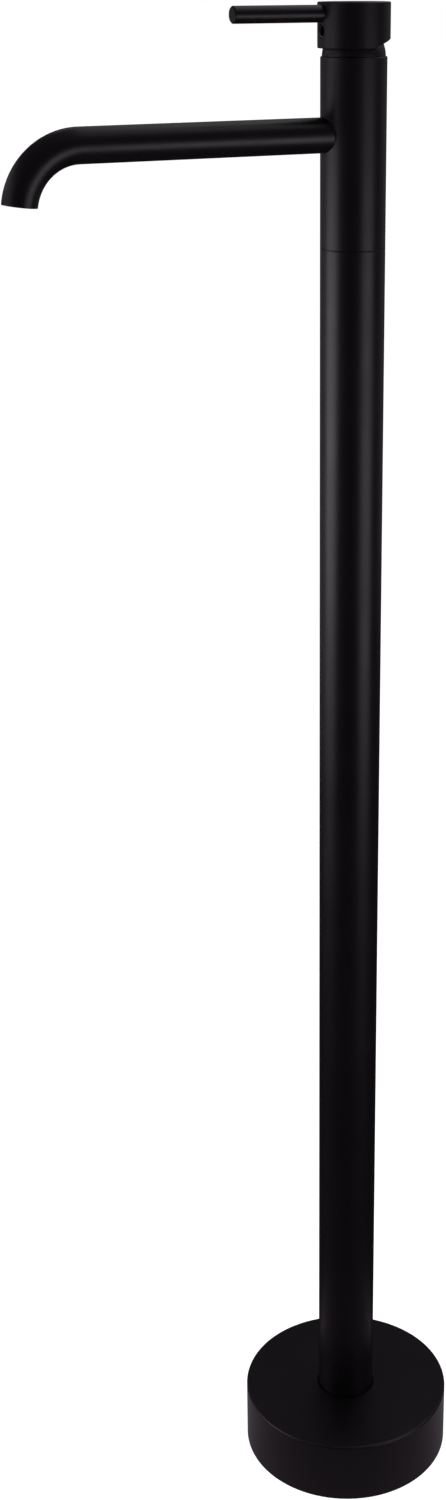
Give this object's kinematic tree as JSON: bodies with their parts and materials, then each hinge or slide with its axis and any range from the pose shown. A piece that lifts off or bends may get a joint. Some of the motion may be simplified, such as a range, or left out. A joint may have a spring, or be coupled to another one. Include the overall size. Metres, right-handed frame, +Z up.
{
  "type": "floor-standing basin mixer",
  "caption": "Tall single-lever floor-standing mixer with a bent round spout, a cap handle with a pin lever, a slender round riser and a round base cover.",
  "frame": {"origin": "on the floor, at the riser's axis: the centre of the underside of the floor gasket", "axes": "+Z is up along the riser, the spout and the lever point along -Y, and +X is the cold side: the user's right, seen from the basin by someone who faces the riser"},
  "size_m": [0.17, 0.339, 1.18],
  "materials": {
    "matt_black": "satin matt black coating",
    "brass": "turned brass",
    "nickel_plated": "nickel-plated, machined",
    "socket_metal": "turned steel",
    "steel": "stainless steel, brushed",
    "braid": "stainless steel braid over a rubber tube",
    "white_plastic": "moulded acetal",
    "grey_plastic": "moulded plastic",
    "red_plastic": "moulded plastic",
    "black_plastic": "moulded plastic",
    "disc_ceramic": "lapped alumina",
    "rubber": "moulded rubber"
  },
  "bodies": {
    "riser": {"mixer_body": "matt_black", "spout": "matt_black", "aerator_housing": "black_plastic", "aerator_insert": "grey_plastic", "aerator_screen": "steel", "aerator_washer": "rubber", "head_coupling": "brass", "coupling_rings": "rubber", "head_lock_screw": "matt_black", "riser_column": "matt_black", "hot_hose": "braid", "cold_hose": "braid", "hose_ferrules": "steel", "hose_studs": "brass", "stud_rings": "rubber", "hose_tails": "brass", "tail_washers": "rubber", "riser_socket": "socket_metal", "clamp_screws": "steel", "socket_bolts": "steel", "floor_plate": "steel", "floor_gasket": "rubber", "retaining_nut": "brass", "cartridge_cover": "matt_black", "limit_ring": "red_plastic", "cartridge_housing": "white_plastic", "cartridge_base": "grey_plastic", "seat_seals": "rubber", "disc_seals": "rubber", "fixed_disc": "disc_ceramic"},
    "cartridge_turner": {"stem_rotor": "white_plastic", "stem_pivot_pin": "steel"},
    "handle": {"handle_cap": "matt_black", "lever_pin": "matt_black", "handle_grub_screw": "steel", "cartridge_stem": "brass"},
    "disc_slider": {"disc_carrier": "white_plastic", "carrier_seal": "rubber", "moving_disc": "disc_ceramic"},
    "base_bell": {"base_cover": "matt_black", "cover_grip_ring": "rubber"},
    "hot_nut": {"hot_union_nut": "nickel_plated"},
    "cold_nut": {"cold_union_nut": "nickel_plated"}
  },
  "joints": [
    {"name": "temperature_turn", "type": "hinge", "parent": "riser", "child": "cartridge_turner", "pos_m": [0, 0, 1.1445], "axis": [0, 0, 1], "range_deg": [-45, 45]},
    {"name": "flow_lift", "type": "hinge", "parent": "cartridge_turner", "child": "handle", "pos_m": [0, 0, 1.1445], "axis": [-1, 0, 0], "range_deg": [0, 25]},
    {"name": "disc_slide", "type": "slide", "parent": "cartridge_turner", "child": "disc_slider", "axis": [0, -1, 0], "range_m": [0, 0.0045]},
    {"name": "cover_slide", "type": "slide", "parent": "riser", "child": "base_bell", "axis": [0, 0, 1], "range_m": [0, 0.95]},
    {"name": "hot_nut_spin", "type": "hinge", "parent": "riser", "child": "hot_nut", "pos_m": [-0.0115, 0, 0.0095], "axis": [0, 0, 1], "continuous": true},
    {"name": "cold_nut_spin", "type": "hinge", "parent": "riser", "child": "cold_nut", "pos_m": [0.0115, 0, 0.0095], "axis": [0, 0, 1], "continuous": true}
  ],
  "couplings": [
    {"joint": "disc_slide", "follows": "flow_lift", "m_per_rad": 0.01}
  ]
}
